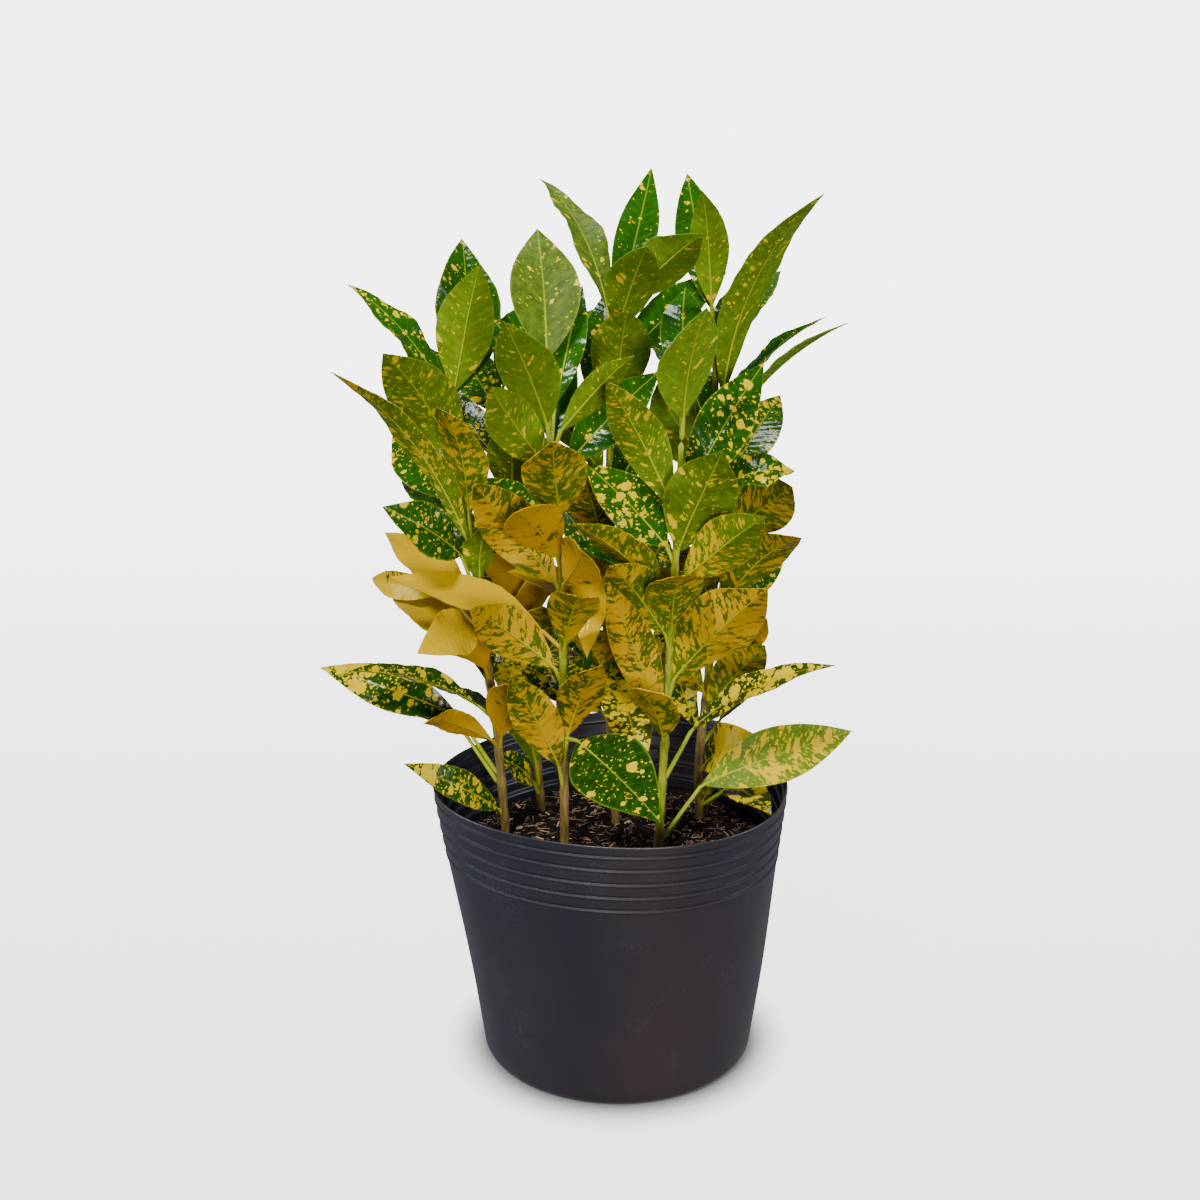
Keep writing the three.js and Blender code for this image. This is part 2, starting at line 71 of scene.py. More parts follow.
# The leaves of each stem, in millimetres and degrees: height on the stem, heading, rise,
# blade length, blade width, stalk length, roll, and share of gold in a hundred.
# A heading near 270 faces the front.
LEAVES = {
    "stem_left": [
        (168, 219, 35, 95, 25, 8, -55, 52),
        (190, 149, 10, 132, 34, 51, -20, 10),
        (197, 171, 17, 104, 32, 55, -55, 50),
        (216, 289, 47, 78, 34, 16, -15, 80),
        (222, 233, 25, 76, 20, 10, 60, 75),
        (245, 116, 25, 90, 34, 27, 10, 50),
        (243, 194, 19, 98, 32, 16, -10, 50),
        (271, 242, 39, 60, 30, 14, 25, 92),
        (280, 143, 20, 90, 34, 12, -15, 92),
        (305, 251, 4, 82, 34, 29, -55, 92),
        (305, 147, 29, 82, 34, 27, -15, 95),
        (308, 136, -5, 84, 20, 44, -80, 85),
        (330, 290, 62, 58, 23, 15, 10, 20),
        (332, 222, 35, 76, 38, 37, -60, 42),
        (368, 122, 12, 96, 38, 16, -10, 15),
        (356, 217, 52, 160, 30, 17, 20, 53),
        (373, 252, 60, 96, 34, 19, -5, 54),
        (392, 124, 19, 104, 38, 12, -50, 48),
        (414, 236, 48, 108, 44, 17, 30, 43),
        (441, 190, 50, 94, 28, 35, -40, 35),
        (449, 122, 27, 80, 26, 26, 20, 5),
        (465, 89, 53, 120, 50, 8, 30, 18),
        (468, 309, 69, 92, 38, 8, -25, 15),
    ],
    "stem_front_left": [
        (201, 233, 58, 94, 32, 22, 40, 65),
        (221, 297, 52, 84, 32, 25, -5, 68),
        (242, 304, -14, 100, 52, 18, 35, 34),
        (253, 92, 12, 78, 28, 14, -5, 60),
        (279, 223, 39, 90, 34, 17, 75, 65),
        (298, 280, 38, 88, 34, 14, -15, 62),
        (306, 171, 17, 110, 30, 19, -30, 100),
        (338, 223, 49, 104, 38, 16, 60, 65),
        (344, 280, 30, 84, 36, 14, -45, 75),
        (362, 248, 36, 76, 38, 12, 30, 75),
        (383, 269, 46, 88, 42, 17, 0, 60),
        (380, 132, 6, 90, 30, 25, -20, 30),
        (400, 240, 45, 94, 32, 30, 55, 45),
        (417, 33, 37, 90, 34, 19, 45, 20),
        (439, 314, 40, 88, 20, 20, -50, 20),
        (439, 93, 44, 104, 34, 8, 0, 5),
        (455, 121, 32, 80, 28, 27, -5, 5),
        (450, 248, 50, 96, 38, 12, 25, 12),
        (454, 98, 55, 96, 46, 48, 0, 15),
        (444, 73, 50, 92, 22, 29, 15, 5),
    ],
    "stem_front_right": [
        (162, 17, 14, 116, 40, 51, 50, 54),
        (208, 353, 28, 108, 22, 45, 30, 58),
        (236, 250, 45, 76, 34, 8, -15, 60),
        (240, 227, 64, 118, 30, 20, 45, 65),
        (268, 321, 46, 106, 50, 20, -45, 62),
        (306, 235, 44, 90, 38, 14, 45, 57),
        (318, 275, 40, 82, 38, 8, 0, 55),
        (326, 205, 41, 88, 34, 20, 30, 58),
        (338, 154, 13, 90, 34, 15, -5, 15),
        (343, 309, 37, 96, 36, 17, -55, 53),
        (363, 295, 53, 98, 46, 15, -25, 40),
        (366, 168, 44, 78, 38, 14, -40, 48),
        (386, 230, 54, 110, 32, 24, 45, 42),
        (390, 15, 8, 50, 34, 43, 30, 48),
        (389, 33, 52, 100, 36, 28, 50, 40),
        (452, 284, 58, 90, 44, 15, 20, 20),
        (452, 87, 38, 86, 30, 37, -5, 12),
    ],
    "stem_back_right": [
        (157, 287, 42, 42, 17, 12, -15, 50),
        (161, 299, 2, 58, 28, 44, 5, 55),
        (187, 317, 32, 64, 36, 11, 50, 75),
        (208, 36, 16, 92, 32, 24, -10, 50),
        (219, 303, 46, 94, 32, 20, -45, 56),
        (214, 105, 38, 115, 34, 8, -50, 58),
        (244, 250, 48, 92, 34, 8, 60, 60),
        (269, 299, 28, 64, 30, 31, -80, 80),
        (280, 305, 39, 106, 34, 41, -40, 58),
        (292, 60, 20, 108, 38, 16, 15, 40),
        (307, 250, 40, 90, 36, 16, 15, 60),
        (340, 80, 25, 105, 38, 16, 0, 25),
        (354, 305, 33, 80, 38, 24, -70, 58),
        (366, 265, 45, 90, 36, 14, 0, 35),
        (390, 62, 27, 108, 34, 16, 20, 45),
        (395, 229, 50, 96, 38, 16, 55, 25),
        (420, 122, 33, 93, 38, 25, 0, 10),
        (446, 306, 56, 168, 36, 22, 5, 30),
        (448, 17, 40, 94, 22, 11, -10, 15),
        (426, 333, 44, 118, 26, 16, 0, 15),
        (480, 59, 30, 100, 40, 16, 0, 10),
        (508, 106, 51, 64, 20, 18, -15, 40),
        (514, 106, 56, 98, 30, 17, -25, 10),
        (521, 258, 58, 92, 26, 8, 10, 15),
    ],
    "stem_back_middle": [
        (223, 102, 26, 95, 36, 16, -5, 40),
        (233, 175, 30, 78, 28, 8, -50, 58),
        (255, 242, 44, 84, 32, 14, 0, 60),
        (277, 288, -34, 90, 34, 8, 10, 64),
        (282, 66, 25, 105, 36, 22, 30, 55),
        (305, 219, 30, 90, 34, 11, -45, 85),
        (325, 115, 20, 100, 36, 16, 0, 40),
        (296, 320, 35, 86, 34, 14, -30, 70),
        (342, 255, 50, 88, 36, 20, 20, 66),
        (352, 330, 30, 90, 36, 14, 40, 50),
        (366, 260, -43, 86, 30, 8, 0, 100),
        (385, 60, 25, 105, 38, 16, 0, 30),
        (402, 215, 45, 96, 38, 14, 35, 30),
        (430, 93, 49, 110, 38, 16, -10, 15),
        (444, 280, 53, 96, 40, 14, -10, 20),
        (479, 30, 35, 100, 36, 13, 30, 10),
        (516, 304, 31, 94, 34, 22, -50, 15),
        (494, 118, 38, 130, 32, 34, 10, 10),
        (506, 285, 42, 92, 34, 8, -20, 15),
        (516, 70, 55, 112, 28, 8, 20, 12),
    ],
    "stem_back_left": [
        (160, 235, 38, 58, 24, 18, -60, 45),
        (164, 251, 61, 72, 25, 26, 15, 50),
        (187, 167, 25, 102, 32, 19, 20, 30),
        (201, 110, 37, 90, 34, 16, -15, 60),
        (248, 284, 51, 72, 30, 22, -10, 60),
        (256, 58, 17, 96, 34, 16, 45, 50),
        (281, 295, 50, 70, 30, 14, 0, 90),
        (300, 127, 30, 104, 36, 16, -30, 50),
        (258, 235, 46, 84, 34, 14, 20, 80),
        (309, 253, 42, 70, 32, 10, 15, 95),
        (330, 300, 45, 84, 34, 14, -10, 80),
        (350, 85, 25, 110, 40, 16, 5, 30),
        (382, 275, 50, 90, 34, 8, 0, 40),
        (405, 143, 30, 105, 38, 16, 0, 45),
        (450, 40, 35, 96, 38, 16, -5, 15),
        (446, 115, 25, 82, 32, 8, -30, 40),
        (462, 49, 49, 84, 38, 10, -10, 10),
    ],
}

# How far up each stem its bark reaches, in millimetres.
BARK_TOPS = {
    "stem_left": 430,
    "stem_front_left": 235,
    "stem_front_right": 175,
    "stem_back_right": 260,
    "stem_back_middle": 260,
    "stem_back_left": 300,
}

# Leaves twisted on their stalks until their undersides face up, by their place in the rows
TURNED_OVER = {"stem_front_left": (18,), "stem_front_right": (0,), "stem_back_middle": (17,)}


# Colours

def paint(red, green, blue):
    """A colour given as 0 to 255 display values, as a linear colour for a shader."""
    shares = [value / 255 for value in (red, green, blue)]
    linear = [s / 12.92 if s <= 0.04045 else ((s + 0.055) / 1.055) ** 2.4 for s in shares]
    return (*linear, 1.0)


def tint(name, description, red, green, blue):
    """A colour that the user may change."""
    return FloatVectorProperty(name=name, description=description, subtype="COLOR", size=4,
                               min=0.0, max=1.0, default=paint(red, green, blue))


def measure(name, description, millimetres):
    """A size that the user may change."""
    return FloatProperty(name=name, description=description, unit="LENGTH", min=0.0,
                         default=millimetres * MM)


def amount(name, description, default):
    """A plain number that the user may change."""
    return FloatProperty(name=name, description=description, default=default)


# Settings

class CrotonPotSettings(bpy.types.PropertyGroup):
    height: measure("Height", "Height of the pot", 205)
    rim_radius: measure("Rim radius", "Outer radius at the rim", 125)
    base_radius: measure("Base radius", "Outer radius at the underside", 96)
    wall: measure("Wall", "Thickness of the plastic", 1.4)
    foot: measure("Foot", "Rounding at the foot", 5)
    groove_depth: measure("Groove depth", "Depth of each ring groove", 1.3)
    groove_width: measure("Groove width", "Half width of each ring groove", 0.7)
    bead: measure("Bead", "How far the bead under each groove stands out", 0.7)
    bead_width: measure("Bead width", "Half width of each bead", 0.7)
    bead_drop: measure("Bead drop", "How far each bead lies under its groove", 1.4)
    drain_radius: measure("Drain radius", "Radius of a drain hole", 6)
    drain_ring: measure("Drain ring", "Radius of the ring of drain holes", 70)
    drain_holes: IntProperty(name="Drain holes", description="Number of drain holes", default=6, min=1)
    plastic: tint("Plastic", "Colour of the pot", 37, 27, 33)
    deep_plastic: tint("Deep plastic", "Darker patches of the pot", 22, 22, 30)
    dust: tint("Dust", "Colour of the dust on the pot", 60, 55, 62)
    # Painted shade: the inner face of the wall is coloured darker than the outside.
    inner: tint("Inner wall", "Colour of the inner wall's painted shade", 8, 9, 12)
    # Painted highlight: a lighter colour on the ring crests, fading out towards the sides.
    painted_highlight: tint("Painted crest highlight", "Colour of the rubbed crests of the rings", 94, 90, 96)


class CrotonSoilSettings(bpy.types.PropertyGroup):
    level: measure("Level", "Height of the mix at its middle ring", 152)
    mound: measure("Mound", "How far the middle stands above the level", 3)
    gap: measure("Gap", "Gap between the mix and the wall", 1)
    lumps: measure("Lumps", "Height of the lumps", 3.5)
    chips: IntProperty(name="Chips", description="Number of bark chips", default=430, min=0)
    fibres: IntProperty(name="Fibres", description="Number of loose fibres", default=1100, min=0)
    peat: tint("Peat", "Colour of the wet peat", 19, 14, 11)
    crumb: tint("Crumb", "Colour of the dry crumbs", 56, 42, 32)
    bark: tint("Bark chip", "Colour of the dark chips", 44, 30, 22)
    husk: tint("Husk chip", "Colour of the pale chips", 206, 168, 134)


class CrotonPlantSettings(bpy.types.PropertyGroup):
    blade: measure("Blade thickness", "Thickness of a leaf", 0.6)
    stalk_radius: measure("Stalk radius", "Radius of a leaf stalk", 1.5)
    wood_radius: measure("Wood radius", "Radius of a stem at the mix", 3.2)
    tip_radius: measure("Tip radius", "Radius of a stem at its tip", 1.8)
    root: measure("Root", "How far a stem is followed into the mix", 10)
    dark_green: tint("Dark green", "Green of the older upper faces", 11, 34, 3)
    green: tint("Green", "Green of the fresh upper faces", 26, 76, 2)
    under: tint("Underside", "Deeper green of the undersides", 48, 66, 8)
    under_light: tint("Light underside", "Lighter green of the undersides", 94, 120, 10)
    freckle: tint("Freckle", "Small spots seen from underneath", 150, 150, 10)
    pale_spot: tint("Pale spot", "Spots seen from underneath", 190, 164, 0)
    spot: tint("Spot", "Spots on the upper faces", 176, 152, 0)
    ochre: tint("Ochre", "Undersides of the turned leaves", 162, 122, 0)
    gold: tint("Gold", "The brightest leaves", 160, 130, 0)
    stain: tint("Stain", "What stays green on gold leaves", 46, 54, 5)
    vein: tint("Vein", "Colour of the ribs", 126, 142, 34)
    stalk: tint("Stalk", "Colour of the leaf stalks", 134, 142, 20)
    young_bark: tint("Green bark", "Colour of the young stems", 96, 102, 20)
    old_bark: tint("Brown bark", "Colour of the old stems", 114, 94, 46)
    bark_shade: tint("Bark shade", "Colour in the creases of the bark", 84, 68, 30)


class CrotonStageSettings(bpy.types.PropertyGroup):
    camera_back: measure("Camera distance", "How far the camera stands in front", 1158)
    camera_height: measure("Camera height", "Height of the camera", 675.6)
    camera_pitch: amount("Camera pitch", "Downward tilt in degrees", 16.5)
    camera_yaw: amount("Camera yaw", "Turn to the left in degrees", 0.62)
    lens: amount("Lens", "Focal length in millimetres", 53.1)
    glow: amount("Glow", "Brightness of the far backdrop", 5.2)
    near_glow: amount("Near glow", "Share of the glow on the near floor", 0.5)
    floor: tint("Floor", "Colour of the floor and the backdrop", 84, 84, 86)


# Blender helpers

def activate(obj):
    """Makes the object the only selected one."""
    bpy.ops.object.select_all(action="DESELECT")
    obj.select_set(True)
    bpy.context.view_layer.objects.active = obj


def apply_modifier(obj, kind, **settings):
    activate(obj)
    modifier = obj.modifiers.new(kind.title(), kind)
    for key, value in settings.items():
        setattr(modifier, key, value)
    bpy.ops.object.modifier_apply(modifier=modifier.name)


def new_object(name, data):
    """A new object at the origin of the scene."""
    obj = bpy.data.objects.new(name, data)
    bpy.context.scene.collection.objects.link(obj)
    return obj


def grid_template(name, rows, columns):
    bpy.ops.mesh.primitive_grid_add(x_subdivisions=rows, y_subdivisions=columns, size=2)
    template = bpy.context.object
    template.name = name
    return template


def copy_of(template):
    """A copy of the template with a mesh of its own."""
    obj = template.copy()
    obj.data = template.data.copy()
    bpy.context.scene.collection.objects.link(obj)
    return obj


def get_points(mesh):
    points = np.empty(len(mesh.vertices) * 3)
    mesh.vertices.foreach_get("co", points)
    return points.reshape(-1, 3)


def set_points(mesh, points):
    mesh.vertices.foreach_set("co", np.asarray(points, dtype=float).ravel())
    mesh.update()


def set_attribute(mesh, name, values):
    """Stores a vector on every point for the materials to read."""
    attribute = mesh.attributes.new(name, "FLOAT_VECTOR", "POINT")
    attribute.data.foreach_set("vector", np.asarray(values, dtype=float).ravel())


def same_everywhere(mesh, name, value):
    """Stores one and the same vector on every point."""
    set_attribute(mesh, name, np.tile(value, (len(mesh.vertices), 1)))


def join_into(piece, parts):
    bpy.ops.object.select_all(action="DESELECT")
    for part in parts:
        part.select_set(True)
    piece.select_set(True)
    bpy.context.view_layer.objects.active = piece
    bpy.ops.object.join()
    return piece


def weld(obj, distance=0.00001):
    """Merges points that meet and turns every face outward."""
    activate(obj)
    bpy.ops.object.mode_set(mode="EDIT")
    bpy.ops.mesh.select_all(action="SELECT")
    bpy.ops.mesh.remove_doubles(threshold=distance)
    bpy.ops.mesh.normals_make_consistent(inside=False)
    bpy.ops.object.mode_set(mode="OBJECT")


def shade(obj, degrees):
    activate(obj)
    bpy.ops.object.shade_smooth_by_angle(angle=math.radians(degrees))


def remove(obj):
    bpy.data.objects.remove(obj, do_unlink=True)


def finish_piece(obj, slot_name, *nodes):
    """The piece rides on the one body and stands for its nodes, which are hidden."""
    if not obj.data.polygons:
        raise RuntimeError(obj.name + " has no faces")
    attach(obj, "root")
    if nodes:
        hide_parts(*nodes)


def revolve(name, profile, steps):
    """Spins a profile of (radius, height) pairs about the upright axis."""
    mesh = bpy.data.meshes.new(name)
    edges = [(i, i + 1) for i in range(len(profile) - 1)]
    mesh.from_pydata([(radius, 0, height) for radius, height in profile], edges, [])
    obj = new_object(name, mesh)
    activate(obj)
    bpy.ops.object.mode_set(mode="EDIT")
    bpy.ops.mesh.select_all(action="SELECT")
    bpy.ops.mesh.spin(steps=steps, angle=FULL_TURN, center=(0, 0, 0), axis=(0, 0, 1))
    bpy.ops.object.mode_set(mode="OBJECT")
    weld(obj)
    return obj


# Shader helpers

class Shader:
    """Short ways to build the nodes of one material."""

    def __init__(self, name):
        self.material = bpy.data.materials.new(name)
        self.material.use_nodes = True
        self.tree = self.material.node_tree
        self.surface = self.tree.nodes["Principled BSDF"]

    def feed(self, socket, value):
        if isinstance(value, bpy.types.NodeSocket):
            self.tree.links.new(value, socket)
        else:
            socket.default_value = value

    def node(self, kind, inputs=None, **settings):
        """A new node with these settings, its inputs found by name or by place."""
        node = self.tree.nodes.new("ShaderNode" + kind)
        for key, value in settings.items():
            setattr(node, key, value)
        for key, value in (inputs or {}).items():
            self.feed(node.inputs[key], value)
        return node

    def set(self, **inputs):
        """Sets inputs of the surface, such as roughness."""
        for key, value in inputs.items():
            self.feed(self.surface.inputs[key.replace("_", " ").title().replace("Ior", "IOR")], value)

    def math(self, operation, first, *others):
        """Takes the operation over all the values, from left to right."""
        for second in others or (0.0,):
            first = self.node("Math", {0: first, 1: second}, operation=operation).outputs[0]
        return first

    def add(self, *values):
        return self.math("ADD", *values)

    def less(self, first, second):
        return self.math("SUBTRACT", first, second)

    def times(self, *values):
        return self.math("MULTIPLY", *values)

    def swing(self, grain, size):
        """A grain turned into a swing to both sides of nought."""
        return self.times(self.less(grain, 0.5), size)

    def blend(self, share, first, second):
        """Goes from the first colour to the second as the share grows."""
        return self.node("Mix", {0: share, 6: first, 7: second}, data_type="RGBA").outputs[2]

    def step(self, value, low, high):
        """A soft step from 0 at low to 1 at high, or the other way where low is above high."""
        inputs = {"Value": value, "From Min": low, "From Max": high}
        return self.node("MapRange", inputs, interpolation_type="SMOOTHSTEP").outputs["Result"]

    def split(self, vector):
        return self.node("SeparateXYZ", {0: vector}).outputs

    def attribute(self, name):
        """The three values of a stored vector."""
        return self.split(self.node("Attribute", attribute_name=name).outputs["Vector"])

    def object_place(self):
        return self.node("TexCoord").outputs["Object"]

    def place(self, *values):
        return self.node("CombineXYZ", dict(enumerate(values))).outputs[0]

    def grain(self, place, scale, detail):
        inputs = {"Vector": place, "Scale": scale, "Detail": detail}
        return self.node("TexNoise", inputs).outputs[0]

    def long_grain(self, place, scales, detail):
        """A grain with a scale of its own along each axis."""
        stretched = self.node("Mapping", {"Vector": place, "Scale": scales}).outputs[0]
        return self.grain(stretched, 1.0, detail)

    def cells(self, place, scale):
        """The distance from the middle of the nearest cell, and a colour of that cell's own."""
        outputs = self.node("TexVoronoi", {"Vector": place, "Scale": scale}).outputs
        return outputs["Distance"], outputs["Color"]

    def bump(self, height, strength, distance):
        inputs = {"Height": height, "Strength": strength, "Distance": distance}
        self.set(normal=self.node("Bump", inputs).outputs[0])


# Materials

# How far to either side of the middle the painted highlight on the ring crests reaches, and how far it
# stays full, in metres
PAINTED_HIGHLIGHT_TO = 0.115
PAINTED_HIGHLIGHT_FULL_TO = 0.03


def pot_material(settings):
    """Satin black plastic with faint mottling, dust and worn patches, a painted highlight on the ring
    crests towards the front, and painted shade on its inner face.
    """
    shader = Shader("nursery_pot_plastic")
    place = shader.object_place()
    crest, inside, _ = shader.attribute("pot_painted_light")
    cloud = shader.grain(place, 22, 4)
    speck = shader.grain(place, 900, 2)
    streak = shader.long_grain(place, (60, 60, 9), 4)
    wide = shader.long_grain(place, (7, 7, 4), 3)
    dust = shader.times(shader.step(cloud, 0.5, 0.78), shader.step(speck, 0.5, 0.7))
    marks = shader.step(streak, 0.6, 0.78)
    film = shader.add(shader.times(dust, 0.5), shader.times(marks, 0.14))
    plastic = shader.blend(shader.step(wide, 0.35, 0.7), settings.deep_plastic, settings.plastic)
    plain = shader.blend(film, plastic, settings.dust)
    # Painted highlight: the ring crests are coloured lighter towards the front and fade out to the
    # sides.
    aside = shader.step(shader.math("ABSOLUTE", shader.split(place)[0]), PAINTED_HIGHLIGHT_TO, PAINTED_HIGHLIGHT_FULL_TO)
    crest_highlight = shader.times(crest, aside, shader.step(cloud, 0.25, 0.6))
    outer = shader.blend(crest_highlight, plain, settings.painted_highlight)
    # Painted shade: the inner face of the wall is darkened towards this near-black colour.
    colour = shader.blend(shader.times(inside, 0.75), outer, settings.inner)
    rough = shader.add(0.3, shader.times(cloud, 0.16), shader.times(film, 0.3))
    shader.set(base_color=colour, roughness=rough, specular_ior_level=0.5)
    shader.bump(shader.add(speck, shader.times(cloud, 4.0)), 0.12, 0.0004)
    return shader.material


def soil_material(settings):
    """Dark damp peat with drier crumbs on its lumps."""
    shader = Shader("potting_mix")
    place = shader.object_place()
    lumps = shader.grain(place, 130, 6)
    crumbs, _ = shader.cells(place, 420)
    dry = shader.times(shader.step(lumps, 0.5, 0.72), shader.step(crumbs, 0.42, 0.2))
    colour = shader.blend(dry, settings.peat, settings.crumb)
    shader.set(base_color=colour, roughness=0.92, specular_ior_level=0.1)
    shader.bump(shader.less(lumps, crumbs), 0.9, 0.0022)
    return shader.material


def chip_material(settings):
    """Bark and husk, each chip with its own shade along its grain."""
    shader = Shader("bark_chips")
    tone, _, _ = shader.attribute("chip_tone")
    fibre = shader.long_grain(shader.object_place(), (700, 260, 500), 4)
    share = shader.add(tone, shader.swing(fibre, 0.7))
    shader.set(base_color=shader.blend(share, settings.bark, settings.husk), roughness=0.85)
    shader.bump(fibre, 0.6, 0.0006)
    return shader.material


# What differs between the two faces of a leaf. Roundness is 1 for round spots and less for spots
# that run wide across the leaf, fineness is how small the larger spots are, freckles how many
# small spots are added, and softness how blurred their edges are.
UPPER_FACE = {"roundness": 0.9, "fineness": 0.6, "freckles": -0.04, "softness": 0.05,
              "roughness": 0.15, "gloss": 0.08}
UNDER_FACE = {"roundness": 0.7, "fineness": 0.72, "freckles": 0.2, "softness": 0.1,
              "roughness": 0.5, "gloss": 0.1}

# Scales of the large, middling and small spots
LARGE_SPOTS = 150
MIDDLING_SPOTS = 270
SMALL_SPOTS = 520

# How much the side veins lean towards the tip, and how closely they follow each other
VEIN_SLANT = 0.62
VEIN_RATE = 1000.0


def spot_field(shader, place, scale, crowd):
    """Above nought inside a spot. Each cell has its own spot size, and crowd gives more of them."""
    distance, own = shader.cells(place, scale)
    chance, girth, _ = shader.split(own)
    lack = shader.less(1.0, shader.times(crowd, 0.8))
    there = shader.step(shader.less(chance, lack), -0.02, 0.05)
    size = shader.add(0.17, shader.times(girth, girth, 0.3))
    return shader.less(shader.times(there, size), distance)


def leaf_spots(shader, face, spotted, drift, gold, turned, tone):
    """The shares of large spots and of freckles. Both run together on a leaf that turns gold."""
    fineness = shader.add(face["fineness"], shader.times(tone, 0.5))
    patch = shader.times(shader.step(drift, 0.36, 0.66), shader.add(0.12, gold))
    crowd = shader.add(shader.times(patch, 0.6), shader.times(gold, 0.9), 0.08)
    fewer = shader.less(crowd, 0.08)
    large = spot_field(shader, spotted, shader.times(fineness, LARGE_SPOTS), fewer)
    middling = spot_field(shader, spotted, shader.times(fineness, MIDDLING_SPOTS), crowd)
    small = spot_field(shader, spotted, SMALL_SPOTS, shader.add(crowd, face["freckles"]))
    spread = shader.add(
        shader.times(shader.step(gold, 0.3, 1.0), 0.5),
        shader.times(shader.step(gold, 0.86, 1.0), 0.5),
        shader.times(shader.swing(drift, 0.7), turned),
    )
    spots = shader.add(shader.math("MAXIMUM", large, middling), spread)
    freckles = shader.add(small, spread)
    return [shader.step(field, 0.0, face["softness"]) for field in (spots, freckles)]


def leaf_lines(shader, along, reach, side, ridge):
    """The share of line colour: the rib, which thins towards the tip, the veins and the margin."""
    half_rib = shader.times(shader.step(along, 0.17, 0.0), 0.0005)
    rib = shader.step(shader.less(reach, half_rib), 0.0004, -0.0001)
    vein = shader.times(shader.step(ridge, 0.92, 1.0), 0.2)
    margin = shader.times(shader.step(shader.math("ABSOLUTE", side), 0.92, 1.0), 0.7)
    return shader.times(shader.math("MAXIMUM", rib, vein, margin), 0.5)


def leaf_material(name, settings, underside):
    """One face of a variegated leaf: green with yellow spots, more of them the more gold it has."""
    face = UNDER_FACE if underside else UPPER_FACE
    shader = Shader(name)
    along, across, seed = shader.attribute("leaf_place")
    gold, side, tone = shader.attribute("leaf_tone")
    reach = shader.math("ABSOLUTE", across)
    rib_place = shader.less(along, shader.times(reach, VEIN_SLANT))
    flat = shader.place(along, across, seed)
    drift = shader.grain(flat, 24, 2)
    mottle = shader.grain(flat, 170, 4)
    ragged = shader.grain(flat, 480, 2)
    turned = shader.step(gold, 0.3, 0.75)

    shift = shader.add(shader.swing(mottle, 0.004), shader.swing(ragged, 0.003))
    narrow = shader.less(face["roundness"], shader.times(turned, face["roundness"] - 0.5))
    spot_along = shader.add(rib_place if underside else along, shift)
    spot_across = shader.times(shader.less(across, shift), narrow)
    spotted = shader.place(spot_along, spot_across, seed)
    spots, freckles = leaf_spots(shader, face, spotted, drift, gold, turned, tone)

    light = shader.add(shader.times(shader.step(mottle, 0.3, 0.7), 0.35), shader.times(tone, 0.65))
    if underside:
        ground = shader.blend(light, settings.under, settings.under_light)
        freckle = shader.blend(turned, settings.freckle, settings.ochre)
        mark = shader.blend(turned, settings.pale_spot, settings.ochre)
    else:
        ground = shader.blend(light, settings.dark_green, settings.green)
        mark = shader.blend(shader.step(gold, 0.6, 0.95), settings.spot, settings.gold)
        freckle = mark
    mark = shader.blend(shader.step(gold, 0.9, 1.0), mark, settings.gold)
    mark = shader.blend(shader.times(shader.step(mottle, 0.5, 0.75), 0.6), mark, settings.ochre)
    ground = shader.blend(shader.step(gold, 0.45, 0.8), ground, settings.stain)
    coloured = shader.blend(freckles, ground, freckle)
    coloured = shader.blend(spots, coloured, mark)

    ridge = shader.math("SINE", shader.times(rib_place, VEIN_RATE))
    lines = leaf_lines(shader, along, reach, side, ridge)
    coloured = shader.blend(lines, coloured, shader.blend(turned, settings.vein, settings.ochre))
    shader.set(base_color=coloured, roughness=face["roughness"], specular_ior_level=face["gloss"])
    quilt = shader.times(shader.grain(flat, 300, 1), 0.7)
    shader.bump(shader.add(shader.times(ridge, -0.2), quilt), 0.3, 0.0008)
    return shader.material


def stem_material(settings):
    """Brown creased bark below, green above, and bright stalks that turn gold with their leaves."""
    shader = Shader("croton_stem")
    age, gold, stalk = shader.attribute("stem_age")
    place = shader.object_place()
    creases = shader.long_grain(place, (620, 620, 90), 4)
    patches = shader.long_grain(place, (150, 150, 45), 3)
    worn = shader.step(shader.add(age, shader.swing(patches, 1.1)), 0.3, 0.7)
    bark = shader.blend(shader.step(creases, 0.6, 0.35), settings.old_bark, settings.bark_shade)
    green = shader.blend(shader.step(creases, 0.35, 0.7), settings.young_bark, settings.stalk)
    fresh = shader.blend(shader.step(gold, 0.55, 0.95), settings.stalk, settings.ochre)
    colour = shader.blend(stalk, shader.blend(worn, green, bark), fresh)
    shader.set(base_color=colour, roughness=0.55, specular_ior_level=0.25)
    shader.bump(shader.add(creases, patches), 0.45, 0.0006)
    return shader.material


# Pot and soil shapes

# The pot's section in millimetres, and how many rows of points make it up
GROOVES_BELOW_RIM = (7, 17, 27.5, 37.5, 47.5)
PLAIN_WALL_BELOW_RIM = 54
PLAIN_WALL_ROWS = 20
GROOVE_REACH = (4, -2)
GROOVE_ROWS = 16
LIP_HEIGHT = 2
FOOT_ROWS = 5
LIP_ROWS = 6

# The painted highlight on each crest lies a little above the middle of its bead, in a hair-thin line.
CREST_SHARE = 0.6
CREST_WIDTH = 0.22

# The pot is round up to this share of its height. Above it the thin wall is pressed out of round,
# at the rim by these shares of its radius, along and aside.
ROUND_BELOW = 0.2
OVAL_PRESS = (-0.016, 0.022)
LOBE_PRESS = (-0.04, -0.024)

# How far the mix stays clear of the pot's floor and foot, and the rows of points of its section
FLOOR_GAP = 0.35
FOOT_GAP = 2
SIDE_ROWS = 8
TOP_ROWS = 48

# Lumps of the mix, coarse and fine: how many to a metre, a level in the noise, and their share
LUMPS = ((60, 3.0, 0.6), (210, 8.0, 0.35))


def smooth_step(low, high, value):
    share = np.clip((value - low) / (high - low), 0, 1)
    return share * share * (3 - 2 * share)


